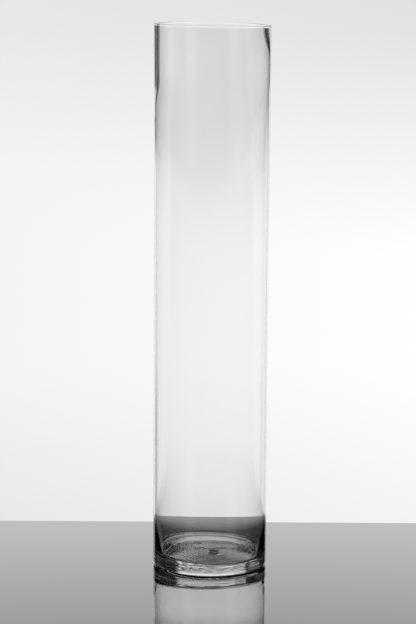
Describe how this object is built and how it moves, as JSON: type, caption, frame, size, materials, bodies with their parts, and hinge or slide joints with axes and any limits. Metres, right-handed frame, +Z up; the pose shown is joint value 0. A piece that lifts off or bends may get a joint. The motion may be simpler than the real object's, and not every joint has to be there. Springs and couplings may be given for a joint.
{
  "type": "glass cylinder vase",
  "caption": "Tall clear glass cylinder vase with a thin blown wall, a heavy solid base and a flat lip with softened edges.",
  "frame": {"origin": "centre of the circle that the vase stands on, in the plane of the table", "axes": "+Z up along the axis of the cylinder, from the base to the mouth; +X is the side that the pontil mark is offset towards"},
  "size_m": [0.1292, 0.1292, 0.61],
  "materials": {
    "clear_glass": "clear blown glass with a smooth lip",
    "base_glass": "thick clear glass with faint ripples",
    "pontil_glass": "rough fire-softened glass"
  },
  "bodies": {
    "root": {"rim_lip": "clear_glass", "cylinder_wall": "clear_glass", "heavy_base": "base_glass", "pontil_mark": "pontil_glass"}
  },
  "joints": []
}
